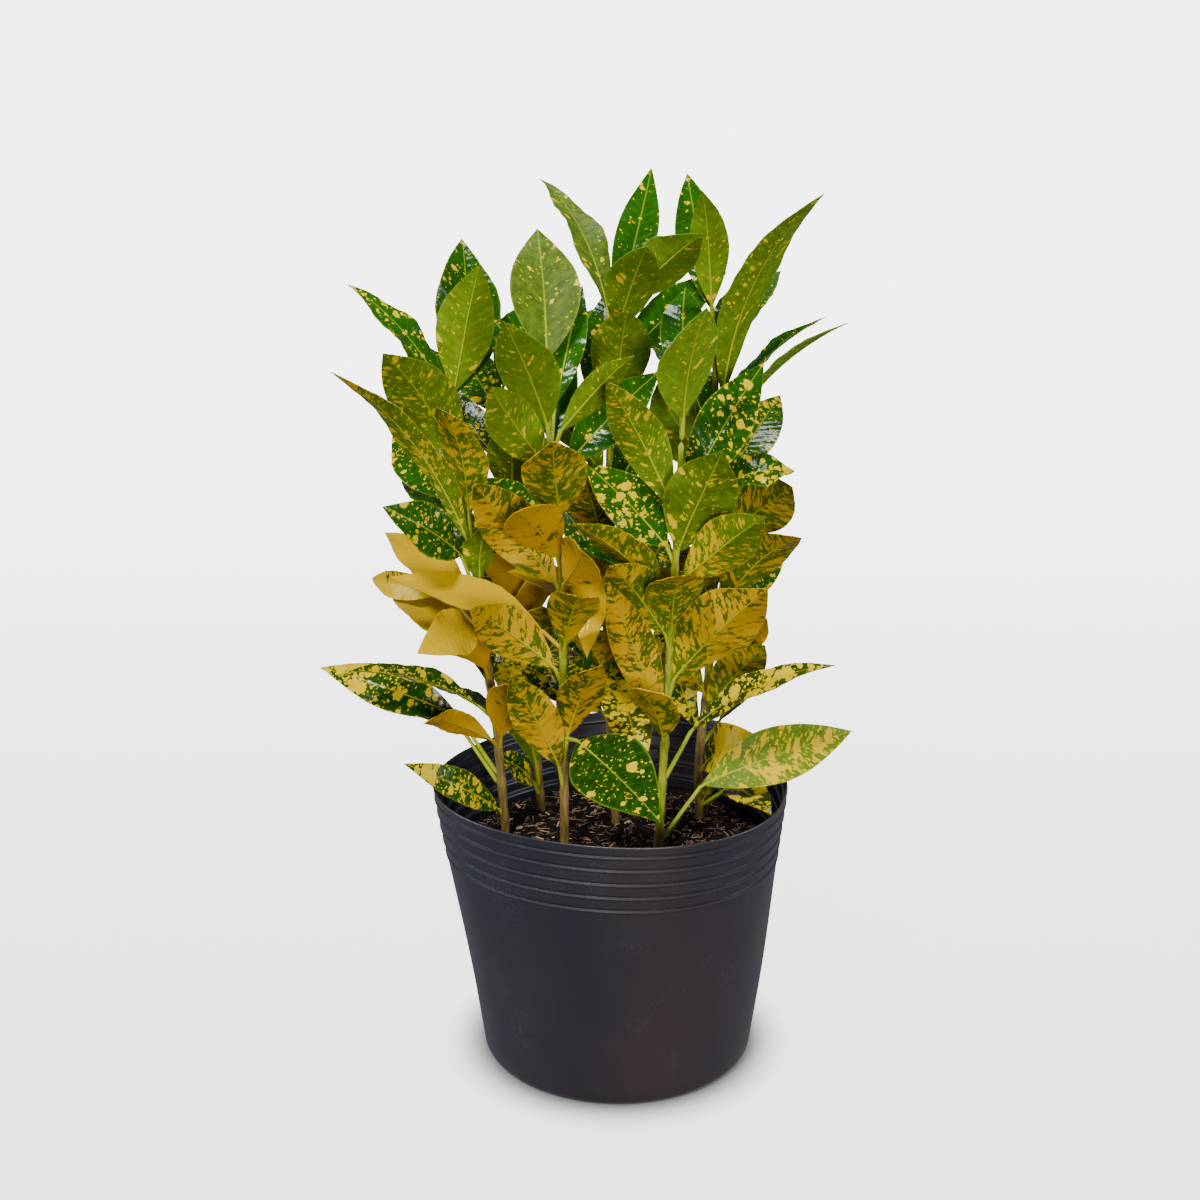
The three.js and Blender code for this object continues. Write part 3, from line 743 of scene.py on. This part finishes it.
def press_out_of_round(mesh, pot_height):
    """The thin rim is pressed a little out of round, and the base is round."""
    points = get_points(mesh)
    turn = np.arctan2(points[:, 1], points[:, 0])
    press = sum(along * np.cos(lobes * turn) + aside * np.sin(lobes * turn)
                for lobes, (along, aside) in ((2, OVAL_PRESS), (3, LOBE_PRESS)))
    factor = 1 + smooth_step(ROUND_BELOW * pot_height, pot_height, points[:, 2]) * press
    points[:, 0] *= factor
    points[:, 1] *= factor
    set_points(mesh, points)


def wall_radius(pot, height):
    return pot.base_radius + (pot.rim_radius - pot.base_radius) * height / pot.height


def grooved_radius(pot, height):
    """The wall's outer radius: at each ring a narrow cut with a small bead under it."""
    radius = wall_radius(pot, height)
    for below in GROOVES_BELOW_RIM:
        distance = height - (pot.height - below * MM)
        cut = distance / pot.groove_width
        bead = (distance + pot.bead_drop) / pot.bead_width
        radius += pot.bead * math.exp(-bead * bead) - pot.groove_depth * math.exp(-cut * cut)
    return radius


def ring_highlight(pot, heights):
    """How much painted highlight the wall gets at each height: 1 on the crest of a bead."""
    crests = [pot.height - below * MM - CREST_SHARE * pot.bead_drop for below in GROOVES_BELOW_RIM]
    return sum(np.exp(-((heights - crest) / (CREST_WIDTH * MM)) ** 2) for crest in crests)


def inside_share(pot, points):
    """1 on the inner face of the wall and 0 on its outer face."""
    radius = np.hypot(points[:, 0], points[:, 1])
    outer = np.array([grooved_radius(pot, height) for height in points[:, 2]])
    return np.clip((outer - radius) / pot.wall * 2 - 0.5, 0, 1)


def pot_profile(pot):
    """The pot's section from the middle of its underside, up its outside and down its inside."""
    plain_top = pot.height - PLAIN_WALL_BELOW_RIM * MM
    heights = list(np.linspace(pot.foot, plain_top, PLAIN_WALL_ROWS))
    for below in reversed(GROOVES_BELOW_RIM):
        steps = np.linspace(*GROOVE_REACH, GROOVE_ROWS)
        heights += [pot.height - (below + step) * MM for step in steps]
    heights.append(pot.height - LIP_HEIGHT * MM)
    outer = [(grooved_radius(pot, height), height) for height in heights]
    foot = []
    for i in range(FOOT_ROWS):
        turn = i / FOOT_ROWS * math.pi / 2
        radius = pot.base_radius - pot.foot * (1 - math.sin(turn))
        foot.append((radius, pot.foot * (1 - math.cos(turn))))
    half = pot.wall / 2
    lip = []
    for i in range(LIP_ROWS + 1):
        turn = i / LIP_ROWS * math.pi
        radius = pot.rim_radius - half + half * math.cos(turn)
        lip.append((radius, pot.height - half + half * math.sin(turn)))
    inner = [(radius - pot.wall, height) for radius, height in reversed(outer)]
    floor = [(pot.base_radius - pot.foot, pot.wall), (0, pot.wall)]
    return [(0, 0), *foot, *outer, *lip, *inner, *floor]


def mix_height(soil, share):
    """The height of the smooth mound, at a share of the way from its middle to its edge."""
    return soil.level - soil.mound + 2 * soil.mound * (1 - share * share)


def soil_profile(pot, soil):
    """The mix's section, up its side and over its mound, close to the wall at its edge."""
    edge_height = soil.level - soil.mound
    edge = wall_radius(pot, edge_height) - pot.wall - soil.gap * 0.4
    bottom = pot.wall + FLOOR_GAP * MM
    heights = np.linspace(pot.foot + FOOT_GAP * MM, edge_height - 4 * MM, SIDE_ROWS)
    side = [(wall_radius(pot, height) - pot.wall - soil.gap, height) for height in heights]
    top = [(edge * share, mix_height(soil, share)) for share in np.linspace(1, 0, TOP_ROWS)]
    return [(0, bottom), (pot.base_radius - pot.foot - FOOT_GAP * MM, bottom), *side, *top]


def soil_height(pot, soil, x, y):
    """The height of the lumpy surface at a place."""
    edge = wall_radius(pot, soil.level) - pot.wall
    smooth = mix_height(soil, min(1.0, math.hypot(x, y) / edge))
    rough = sum(share * noise.noise(Vector((x * rate, y * rate, level)))
                for rate, level, share in LUMPS)
    return smooth + soil.lumps * rough


# Leaf shapes

# A stalk rises more steeply than its blade, and a long one more so, in degrees.
STALK_EXTRA_RISE = 18
STALK_RISE_PER_LENGTH = 0.4
STEEPEST_STALK = 76

# What one leaf draws for itself: the least, and how much more there may be. Rolls and twists are
# in degrees and waves of the margin in millimetres. Each name's place here picks its draw.
VARIETY = {
    "extra_roll": (-8, 16),
    "bow": (0.05, 0.07),
    "fold": (0.1, 0.25),
    "twist": (-15, 30),
    "wave": (0.6, 1.6),
    "waves": (1.5, 1),
    "phase": (0, 6.28),
    "pattern": (0, 3),
    "tone": (0, 0.4),
    "lean": (-0.1, 0.4),
}

# A blade is widest a little before its middle, because this is under 1.
WIDEST_EARLY = 0.9

# One wave of the margin as an angle, and the finer crimps on it: how high, and how many to a wave
WAVE_TURN = 6.28
CRIMP_HEIGHT = 0.35
CRIMPS = 4.3

# Rows of points along a stalk, along the rib that carries on under its blade, and along a stem
STALK_ROWS = 8
RIB_ROWS = 14
STEM_ROWS = 90

# Shares of the way that the stalk and the rib reach, and their radii for a stalk's own radius
STALK_REACH = (0, 0.96)
RIB_REACH = (0.03, 0.9)
STALK_TAPER = (1.15, 0.9)
RIB_TAPER = (0.55, 0.12)

# Where a leaf grows, its stem swells by this much and over this length, in millimetres.
SWELLING = 0.5
SWELLING_LENGTH = 3.2

# How far a stem's bends are rounded off, and how far its bark fades into green, up and down,
# in millimetres
BEND_REACH = 9
BARK_FADE = 40


def fract(value):
    return value - math.floor(value)


def draw(seed, salt):
    """A repeatable draw between 0 and 1 for one leaf."""
    return fract(math.sin(seed * 12.9898 + salt * 78.233) * 43758.5453)


def direction(heading, rise):
    turn, lift = math.radians(heading), math.radians(rise)
    return np.array([math.cos(turn) * math.cos(lift), math.sin(turn) * math.cos(lift), math.sin(lift)])


def turn_about(axis, vector, angle):
    """Turns a vector that is square to the axis by one angle or by a list of them."""
    angle = np.asarray(angle, dtype=float)[..., None]
    return vector * np.cos(angle) + np.cross(axis, vector) * np.sin(angle)


def stem_middles(name, heights):
    """The middle of the named stem at each height."""
    table = np.array(STEM_POINTS[name], dtype=float) * MM
    x, y = (np.interp(heights, table[:, 2], table[:, axis]) for axis in (0, 1))
    return np.stack([x, y, heights], axis=-1)


def blade_share(along):
    """The share of its full width that a blade has along its length."""
    return np.clip(np.sin(np.pi * np.clip(along, 0, 1) ** WIDEST_EARLY), 0, 1)


class LeafPlan:
    """Everything that places one leaf, worked out from its row."""

    def __init__(self, stem, row, seed):
        height, heading, rise, length, width, stalk, roll, gold = row
        for salt, (name, (least, more)) in enumerate(VARIETY.items(), 1):
            setattr(self, name, least + more * draw(seed, salt))
        self.foot = stem_middles(stem, np.array([height * MM]))[0]
        stalk_rise = min(STEEPEST_STALK, rise + STALK_EXTRA_RISE + STALK_RISE_PER_LENGTH * stalk)
        self.base = self.foot + stalk * MM * direction(heading, stalk_rise)
        self.along = direction(heading, rise)
        turn = math.radians(heading)
        level = np.array([math.sin(turn), -math.cos(turn), 0.0])
        self.across = turn_about(self.along, level, math.radians(roll + self.extra_roll))
        self.face = np.cross(self.across, self.along)
        self.length = length * MM
        self.width = width * MM
        self.gold = gold / 100
        self.fresh = height / STEM_POINTS[stem][-1][2]
        self.tone += 0.6 * self.fresh * self.fresh

    def points(self, along, side, lift):
        """Places on the blade: along 0 to 1, side -1 to 1, and lift off its middle face."""
        turn = math.radians(self.twist) * (along - 0.3)
        across = turn_about(self.along, self.across, turn)
        face = turn_about(self.along, self.face, turn)
        share = blade_share(along)
        reach = side * 0.5 * self.width * share
        swell = WAVE_TURN * self.waves * along
        ripple = self.wave * MM * side * side * np.sin(swell + self.phase) * share
        crimp = CRIMP_HEIGHT * MM * side ** 4 * np.sin(CRIMPS * swell + 2 * self.phase) * share
        arch = 4 * self.bow * self.length * along * (1 - along)
        rise = arch + self.fold * np.abs(reach) + ripple + crimp
        placed = (self.base + np.outer(along * self.length, self.along)
                  + across * reach[:, None] + face * (rise + lift)[:, None])
        return placed, reach


def make_blade(plan, template, turned_over):
    """One copy of the flat blade, bent to its plan. Gold leans towards its tip or its base."""
    obj = copy_of(template)
    flat = get_points(obj.data)
    along = (flat[:, 0] + 1) / 2
    placed, reach = plan.points(along, flat[:, 1], flat[:, 2])
    set_points(obj.data, placed)
    if turned_over:
        for polygon in obj.data.polygons:
            polygon.material_index = 1 - polygon.material_index
    pattern = np.full(len(flat), plan.pattern)
    set_attribute(obj.data, "leaf_place", np.stack([along * plan.length, reach, pattern], axis=-1))
    gold = np.clip(plan.gold + plan.lean * (along - 0.5) * (1.2 - plan.gold), 0, 1)
    tone = np.full(len(flat), 1 - plan.fresh if turned_over else plan.tone)
    set_attribute(obj.data, "leaf_tone", np.stack([gold, flat[:, 1], tone], axis=-1))
    return obj


def sweep(template, middles, radii, sideways):
    """One copy of the flat grid, rolled into a tube along its middles, and each point's row."""
    obj = copy_of(template)
    flat = get_points(obj.data)
    share = (flat[:, 0] + 1) / 2 * (len(middles) - 1)
    row = np.clip(np.rint(share).astype(int), 0, len(middles) - 1)
    turn = (flat[:, 1] + 1) * math.pi
    tangents = np.gradient(middles, axis=0)
    tangents /= np.linalg.norm(tangents, axis=1)[:, None]
    upward = np.cross(sideways, tangents)
    upward /= np.linalg.norm(upward, axis=1)[:, None]
    level = np.cross(tangents, upward)
    out = level[row] * np.cos(turn)[:, None] + upward[row] * np.sin(turn)[:, None]
    set_points(obj.data, middles[row] + out * radii[row][:, None])
    return obj, row


def make_stalk(plan, template, settings):
    """The stalk, which carries on as the rib under the blade."""
    reach = np.linspace(*STALK_REACH, STALK_ROWS)
    stalk = [plan.foot + (plan.base - plan.foot) * share for share in reach]
    along = np.linspace(*RIB_REACH, RIB_ROWS)
    under = np.full(RIB_ROWS, -0.3 * settings.blade)
    rib, _ = plan.points(along, np.zeros(RIB_ROWS), under)
    radii = settings.stalk_radius * np.concatenate([
        np.linspace(*STALK_TAPER, STALK_ROWS),
        np.linspace(*RIB_TAPER, RIB_ROWS),
    ])
    radii[0] = radii[-1] = 0.0
    obj, _ = sweep(template, np.vstack([stalk, rib]), radii, plan.across)
    same_everywhere(obj.data, "stem_age", [0.0, plan.gold, 1.0])
    return obj


def make_stem(name, template, settings):
    """The stem with a swollen ring where each leaf grows."""
    low, top = (STEM_POINTS[name][end][2] * MM for end in (0, -1))
    heights = np.linspace(low - settings.root, top, STEM_ROWS)
    shifts = (-BEND_REACH * MM, 0, BEND_REACH * MM)
    middles = sum(stem_middles(name, heights + shift) for shift in shifts) / 3
    middles[:, 2] = heights
    share = np.clip((heights - low) / (top - low), 0, 1)
    radii = settings.wood_radius + (settings.tip_radius - settings.wood_radius) * share
    for row in LEAVES[name]:
        distance = (heights - row[0] * MM) / (SWELLING_LENGTH * MM)
        radii += SWELLING * MM * np.exp(-distance * distance)
    radii[0] = radii[-1] = 0.0
    obj, row = sweep(template, middles, radii, np.array([1.0, 0.0, 0.0]))
    bark_top = BARK_TOPS[name]
    age = smooth_step((bark_top + BARK_FADE) * MM, (bark_top - BARK_FADE) * MM, heights)
    zeros = np.zeros(len(row))
    set_attribute(obj.data, "stem_age", np.stack([age[row], zeros, zeros], axis=-1))
    return obj


def blade_template(settings):
    """A flat leaf blade of even thickness, with its upper face first in the material slots."""
    template = grid_template("blade_template", 44, 12)
    apply_modifier(template, "SOLIDIFY", thickness=settings.blade, offset=0)
    for polygon in template.data.polygons:
        polygon.material_index = 1 if polygon.normal.z < -0.5 else 0
    return template


def tube_template(name, rows, sides, slot_index):
    """A flat grid for sweep to roll up."""
    template = grid_template(name, rows - 1, sides)
    for polygon in template.data.polygons:
        polygon.material_index = slot_index
    return template


# Operators

# Steps round the pot and round the mix, and the length of a drain hole's drill in millimetres
POT_STEPS = 128
MIX_STEPS = 150
DRILL_LENGTH = 8


class CROTON_OT_pot(bpy.types.Operator):
    """Builds the nursery pot"""
    bl_idname = "croton.pot"
    bl_label = "Build pot"

    def execute(self, context):
        pot = context.scene.croton_pot
        obj = revolve("pot_shell", pot_profile(pot), POT_STEPS)
        points = get_points(obj.data)
        # Where the painted highlight falls on the ring crests, and where the painted shade covers the
        # inner face
        highlight_share = ring_highlight(pot, points[:, 2])
        inside = inside_share(pot, points)
        set_attribute(obj.data, "pot_painted_light", np.stack([highlight_share, inside, 0 * inside], axis=-1))
        press_out_of_round(obj.data, pot.height)
        for i in range(pot.drain_holes):
            turn = i / pot.drain_holes * FULL_TURN
            place = (pot.drain_ring * math.cos(turn), pot.drain_ring * math.sin(turn), 0)
            bpy.ops.mesh.primitive_cylinder_add(
                vertices=32, radius=pot.drain_radius, depth=DRILL_LENGTH * MM, location=place)
            drill = bpy.context.object
            apply_modifier(obj, "BOOLEAN", operation="DIFFERENCE", object=drill, solver="EXACT")
            remove(drill)
        obj.data.materials.clear()
        obj.data.materials.append(pot_material(pot))
        shade(obj, 40)
        finish_piece(obj, "pot_plastic", "pot")
        return {"FINISHED"}


class CROTON_OT_soil(bpy.types.Operator):
    """Builds the potting mix with its lumpy surface"""
    bl_idname = "croton.soil"
    bl_label = "Build potting mix"

    def execute(self, context):
        pot, soil = context.scene.croton_pot, context.scene.croton_soil
        obj = revolve("soil_surface", soil_profile(pot, soil), MIX_STEPS)
        points = get_points(obj.data)
        for point in points:
            if point[2] > soil.level - soil.mound - 1 * MM:
                point[2] = soil_height(pot, soil, point[0], point[1])
        set_points(obj.data, points)
        press_out_of_round(obj.data, pot.height)
        obj.data.materials.append(soil_material(soil))
        shade(obj, 60)
        finish_piece(obj, "potting_mix", "soil")
        return {"FINISHED"}


# The litter, least and most: a chip's size, then its length, width and height for that size,
# and a fibre's length and radius in millimetres
CHIP_SIZES = (0.5, 1.4)
CHIP_SIDES = ((1.2, 2.6), (0.4, 0.8), (0.2, 0.45))
FIBRE_LENGTHS = (3, 9)
FIBRE_RADII = (0.1, 0.27)
FIBRE_ROWS = 9

# How far a fibre's middle lies above the mix, in millimetres
FIBRE_LIFT = 1.2

# The litter reaches this share of the way to the wall.
LITTER_REACH = 0.93


def chip_template(seed):
    """One rough chip, about two units long."""
    bpy.ops.mesh.primitive_cube_add(size=2)
    chip = bpy.context.object
    bpy.ops.object.mode_set(mode="EDIT")
    bpy.ops.mesh.subdivide(number_cuts=1, fractal=0.5, seed=seed)
    bpy.ops.transform.vertex_random(offset=0.25, seed=seed)
    bpy.ops.object.mode_set(mode="OBJECT")
    return chip


class CROTON_OT_litter(bpy.types.Operator):
    """Scatters bark chips and fibres over the potting mix"""
    bl_idname = "croton.litter"
    bl_label = "Scatter bark"

    def place(self, context, rng, lift):
        """A random place over the surface, clear of the wall."""
        pot, soil = context.scene.croton_pot, context.scene.croton_soil
        edge = (wall_radius(pot, soil.level) - pot.wall) * LITTER_REACH
        radius = edge * math.sqrt(rng.random())
        turn = rng.uniform(0, FULL_TURN)
        x, y = radius * math.cos(turn), radius * math.sin(turn)
        return Vector((x, y, soil_height(pot, soil, x, y) + lift))

    def chips(self, context, rng):
        templates = [chip_template(seed) for seed in (2, 5, 9, 14)]
        parts = []
        for _ in range(context.scene.croton_soil.chips):
            chip = copy_of(rng.choice(templates))
            size = rng.uniform(*CHIP_SIZES) ** 1.8 * MM
            chip.scale = [size * rng.uniform(*side) for side in CHIP_SIDES]
            chip.rotation_euler = (rng.gauss(0, 0.35), rng.gauss(0, 0.35), rng.uniform(0, FULL_TURN))
            chip.location = self.place(context, rng, 0.3 * size)
            same_everywhere(chip.data, "chip_tone", [rng.random() ** 4, 0.0, 0.0])
            parts.append(chip)
        for template in templates:
            remove(template)
        return parts

    def fibres(self, context, rng):
        template = tube_template("fibre_template", FIBRE_ROWS, 5, 0)
        share = np.linspace(-0.5, 0.5, FIBRE_ROWS)
        parts = []
        for _ in range(context.scene.croton_soil.fibres):
            middle = self.place(context, rng, FIBRE_LIFT * MM)
            turn = rng.uniform(0, FULL_TURN)
            length = rng.uniform(*FIBRE_LENGTHS) * MM
            bend = rng.uniform(-1.1, 1.1)
            ahead = np.array([math.cos(turn), math.sin(turn), rng.uniform(-0.12, 0.12)])
            aside = np.array([-math.sin(turn), math.cos(turn), 0.1])
            middles = np.array(middle) + np.outer(share * length, ahead)
            middles += np.outer((share * share - 0.1) * length * bend, aside)
            radii = np.full(FIBRE_ROWS, rng.uniform(*FIBRE_RADII) * MM)
            radii[0] = radii[-1] = 0.0
            fibre, _ = sweep(template, middles, radii, np.array([0.0, 0.0, 1.0]))
            same_everywhere(fibre.data, "chip_tone", [rng.random() ** 1.5, 0.0, 0.0])
            parts.append(fibre)
        remove(template)
        return parts

    def execute(self, context):
        rng = random.Random(11)
        parts = self.chips(context, rng) + self.fibres(context, rng)
        obj = join_into(new_object("bark_litter", bpy.data.meshes.new("bark_litter")), parts)
        obj.data.materials.clear()
        obj.data.materials.append(chip_material(context.scene.croton_soil))
        weld(obj, 0.000002)
        shade(obj, 45)
        finish_piece(obj, "potting_mix")
        return {"FINISHED"}


class CROTON_OT_stems(bpy.types.Operator):
    """Builds every leafy stem"""
    bl_idname = "croton.stems"
    bl_label = "Build leafy stems"

    def execute(self, context):
        plant = context.scene.croton_plant
        materials = [
            leaf_material("croton_leaf_top", plant, underside=False),
            leaf_material("croton_leaf_under", plant, underside=True),
            stem_material(plant),
        ]
        blade = blade_template(plant)
        stalk = tube_template("stalk_template", STALK_ROWS + RIB_ROWS, 8, 2)
        trunk = tube_template("stem_template", STEM_ROWS, 14, 2)
        for template in (blade, stalk, trunk):
            for material in materials:
                template.data.materials.append(material)
        for number, name in enumerate(LEAVES):
            parts = [make_stem(name, trunk, plant)]
            for index, row in enumerate(LEAVES[name]):
                plan = LeafPlan(name, row, 100 * number + index)
                turned_over = index in TURNED_OVER.get(name, ())
                parts += [make_blade(plan, blade, turned_over), make_stalk(plan, stalk, plant)]
            obj = new_object("leafy_" + name, bpy.data.meshes.new("leafy_" + name))
            for material in materials:
                obj.data.materials.append(material)
            join_into(obj, parts)
            weld(obj)
            shade(obj, 50)
            finish_piece(obj, "croton_leaf", name)
        for template in (blade, stalk, trunk):
            remove(template)
        return {"FINISHED"}


# The studio, in metres: the floor's half width, its length and where it ends behind the camera,
# how far back it turns up, and how tightly
FLOOR_HALF_WIDTH = 20
FLOOR_LENGTH = 20
FLOOR_START = -14
FLOOR_BEND = 2.2
BEND_RADIUS = 1.6

# The wall round the rest of the studio: where it turns up, how tightly, and how high it goes
WALL_START = 6
WALL_BEND = 2
WALL_HEIGHT = 9

# The floor's glow fades out under the pot between these distances from its middle, in metres.
CONTACT_SHADOW = (0.09, 0.132)

# Each light: its place, size, power and colour. All face the middle of the plant.
LIGHTS = {
    "key_light": ((-0.6, -1.5, 2.3), 0.4, 100, (1, 0.98, 0.94)),
    "front_light": ((0.5, -2.4, 0.7), 0.6, 68, (1, 0.98, 0.95)),
    "right_light": ((2.2, -0.2, 1.0), 1.2, 46, (0.72, 0.86, 1)),
    "left_light": ((-2.2, 0.0, 0.8), 1.2, 52, (0.72, 0.86, 1)),
    "top_light": ((0.3, 0.6, 2.4), 0.5, 40, (1, 1, 1)),
}
PLANT_MIDDLE = (0, 0, 0.3)
SKY_COLOUR = (0.93, 0.96, 1, 1)
SKY_STRENGTH = 0.28


class CROTON_OT_stage(bpy.types.Operator):
    """Sets the floor, the backdrop, the lights and the camera"""
    bl_idname = "croton.stage"
    bl_label = "Build stage"

    def floor_material(self, stage):
        """Plain and pale, glowing more towards the back, with a soft shadow where the pot stands."""
        shader = Shader("studio_floor")
        x, y, _ = shader.split(shader.object_place())
        far = shader.step(y, -0.6, 2.6)
        reach = shader.math("SQRT", shader.add(shader.times(x, x), shader.times(y, y)))
        share = shader.add(stage.near_glow, shader.times(far, 1 - stage.near_glow))
        glow = shader.times(share, shader.step(reach, *CONTACT_SHADOW), stage.glow)
        shader.set(base_color=stage.floor, roughness=0.9)
        shader.set(emission_color=(1, 1, 1, 1), emission_strength=glow)
        shader.material.cycles.emission_sampling = "NONE"
        return shader.material

    def stand(self, obj, material, unseen_by):
        """Gives the object its material and smooth shading, out of sight of some kinds of light."""
        obj.data.materials.append(material)
        shade(obj, 30)
        for kind in unseen_by:
            setattr(obj, "visible_" + kind, False)

    def floor(self):
        """The floor, which bends up into the backdrop."""
        floor = grid_template("studio_floor", 4, 120)
        points = get_points(floor.data)
        points[:, 0] *= FLOOR_HALF_WIDTH
        run = (points[:, 1] + 1) * FLOOR_LENGTH / 2 + FLOOR_START
        turn = np.clip((run - FLOOR_BEND) / BEND_RADIUS, 0, math.pi / 2)
        past = np.maximum(run - FLOOR_BEND - BEND_RADIUS * math.pi / 2, 0)
        points[:, 1] = np.minimum(run, FLOOR_BEND) + BEND_RADIUS * np.sin(turn)
        points[:, 2] = BEND_RADIUS * (1 - np.cos(turn)) + past
        set_points(floor.data, points)
        return floor

    def wall(self):
        """The wall round the rest of the studio, just above the floor where it starts."""
        profile = [(WALL_START + WALL_BEND * math.sin(turn), WALL_BEND * (1 - math.cos(turn)) + 1 * MM)
                   for turn in np.linspace(0, math.pi / 2, 13)]
        return revolve("studio_wall", profile + [(WALL_START + WALL_BEND, WALL_HEIGHT)], 96)

    def camera(self, context, stage):
        data = bpy.data.cameras.new("front_camera")
        data.lens = stage.lens
        data.sensor_width = 36
        camera = new_object("front_camera", data)
        camera.location = (0, -stage.camera_back, stage.camera_height)
        pitch, yaw = math.radians(90 - stage.camera_pitch), math.radians(stage.camera_yaw)
        camera.rotation_euler = (pitch, 0, yaw)
        context.scene.camera = camera

    def lights(self, context):
        for name, (place, size, power, colour) in LIGHTS.items():
            light = bpy.data.lights.new(name, "AREA")
            light.shape = "SQUARE"
            light.size = size
            light.energy = power
            light.color = colour
            obj = new_object(name, light)
            obj.location = place
            aim = Vector(PLANT_MIDDLE) - Vector(place)
            obj.rotation_euler = aim.to_track_quat("-Z", "Y").to_euler()
        world = bpy.data.worlds.new("studio_world")
        world.use_nodes = True
        sky = world.node_tree.nodes["Background"]
        sky.inputs["Color"].default_value = SKY_COLOUR
        sky.inputs["Strength"].default_value = SKY_STRENGTH
        context.scene.world = world

    def execute(self, context):
        stage = context.scene.croton_stage
        material = self.floor_material(stage)
        self.stand(self.floor(), material, ("diffuse", "glossy"))
        # Only a camera sees the wall, so it changes no light.
        only_camera = ("diffuse", "glossy", "transmission", "volume_scatter", "shadow")
        self.stand(self.wall(), material, only_camera)
        self.camera(context, stage)
        self.lights(context)
        return {"FINISHED"}


class CROTON_PT_panel(bpy.types.Panel):
    """Lists the building steps and what can be changed"""
    bl_label = "Potted croton"
    bl_space_type = "VIEW_3D"
    bl_region_type = "UI"
    bl_category = "Croton"

    def draw(self, context):
        for operator in BUILD_ORDER:
            self.layout.operator("croton." + operator)
        for group in SETTINGS:
            box = self.layout.box()
            settings = getattr(context.scene, group)
            for key in settings.bl_rna.properties.keys():
                if key not in {"rna_type", "name"}:
                    box.prop(settings, key)


BUILD_ORDER = ("stage", "pot", "soil", "litter", "stems")
SETTINGS = {
    "croton_pot": CrotonPotSettings,
    "croton_soil": CrotonSoilSettings,
    "croton_plant": CrotonPlantSettings,
    "croton_stage": CrotonStageSettings,
}
CLASSES = (
    *SETTINGS.values(),
    CROTON_OT_pot,
    CROTON_OT_soil,
    CROTON_OT_litter,
    CROTON_OT_stems,
    CROTON_OT_stage,
    CROTON_PT_panel,
)


def register():
    for cls in CLASSES:
        bpy.utils.register_class(cls)
    for name, group in SETTINGS.items():
        setattr(bpy.types.Scene, name, PointerProperty(type=group))


def unregister():
    for name in SETTINGS:
        delattr(bpy.types.Scene, name)
    for cls in reversed(CLASSES):
        bpy.utils.unregister_class(cls)


def main():
    register()
    for operator in BUILD_ORDER:
        getattr(bpy.ops.croton, operator)()


if __name__ == "__main__":
    main()
